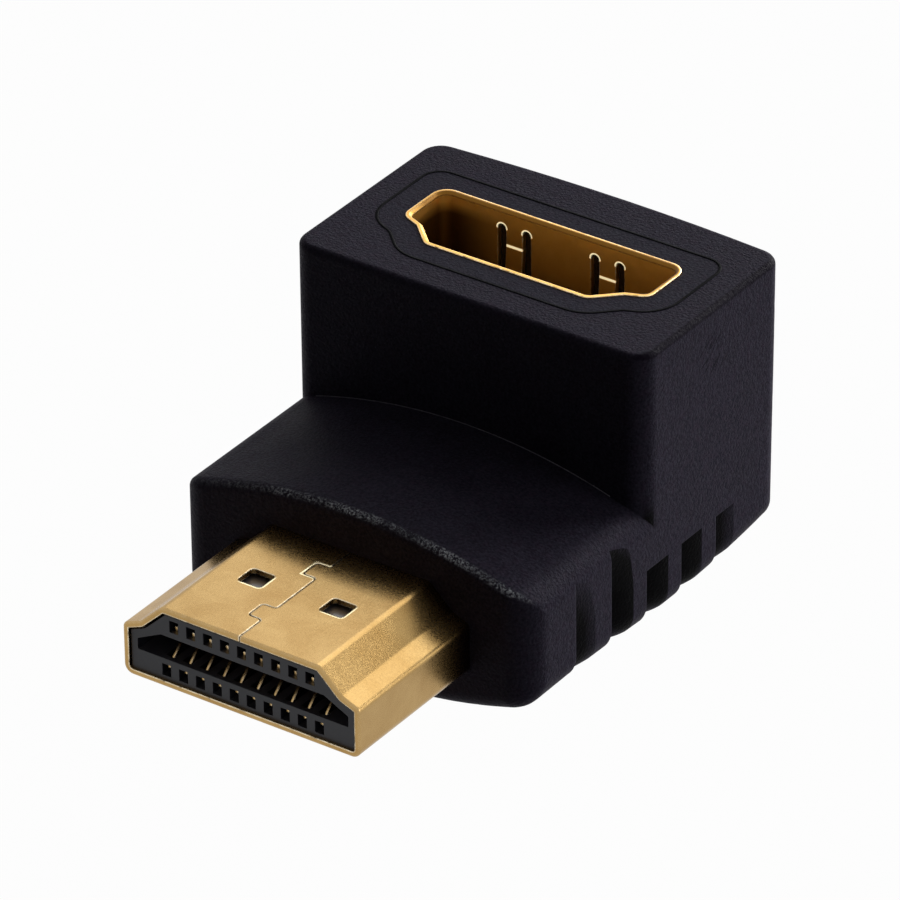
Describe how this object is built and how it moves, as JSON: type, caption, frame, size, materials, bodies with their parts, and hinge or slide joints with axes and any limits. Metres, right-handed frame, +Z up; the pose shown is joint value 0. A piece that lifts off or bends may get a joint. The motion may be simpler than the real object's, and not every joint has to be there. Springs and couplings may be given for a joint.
{
  "type": "right angle adapter",
  "caption": "Right angle audio and video adapter with a flat plug at the front, a matching socket in the top of its upright arm and a moulded body with grip notches.",
  "frame": {"origin": "middle of the part's footprint, at its lowest point", "axes": "+Z up, the way the socket opens; -Y the way the plug points; X across both, along their contact rows"},
  "size_m": [0.0208, 0.0316, 0.017],
  "materials": {
    "outer_plastic": "near black flexible plastic with a fine matt grain",
    "inner_plastic": "near black hard plastic, matt",
    "plated_sheet": "gold plated sheet, satin",
    "insulator_plastic": "dark blue grey plastic, satin",
    "contact_metal": "gold plated strip, satin",
    "board": "green lacquered board"
  },
  "bodies": {
    "root": {"circuit_board": "board", "inner_mould": "inner_plastic", "overmould": "outer_plastic", "plug_contact_01": "contact_metal", "plug_contact_02": "contact_metal", "plug_contact_03": "contact_metal", "plug_contact_04": "contact_metal", "plug_contact_05": "contact_metal", "plug_contact_06": "contact_metal", "plug_contact_07": "contact_metal", "plug_contact_08": "contact_metal", "plug_contact_09": "contact_metal", "plug_contact_10": "contact_metal", "plug_contact_11": "contact_metal", "plug_contact_12": "contact_metal", "plug_contact_13": "contact_metal", "plug_contact_14": "contact_metal", "plug_contact_15": "contact_metal", "plug_contact_16": "contact_metal", "plug_contact_17": "contact_metal", "plug_contact_18": "contact_metal", "plug_contact_19": "contact_metal", "plug_insulator": "insulator_plastic", "plug_shell": "plated_sheet", "socket_contact_01": "contact_metal", "socket_contact_02": "contact_metal", "socket_contact_03": "contact_metal", "socket_contact_04": "contact_metal", "socket_contact_05": "contact_metal", "socket_contact_06": "contact_metal", "socket_contact_07": "contact_metal", "socket_contact_08": "contact_metal", "socket_contact_09": "contact_metal", "socket_contact_10": "contact_metal", "socket_contact_11": "contact_metal", "socket_contact_12": "contact_metal", "socket_contact_13": "contact_metal", "socket_contact_14": "contact_metal", "socket_contact_15": "contact_metal", "socket_contact_16": "contact_metal", "socket_contact_17": "contact_metal", "socket_contact_18": "contact_metal", "socket_contact_19": "contact_metal", "socket_insulator": "insulator_plastic", "socket_shell": "plated_sheet"}
  },
  "joints": []
}
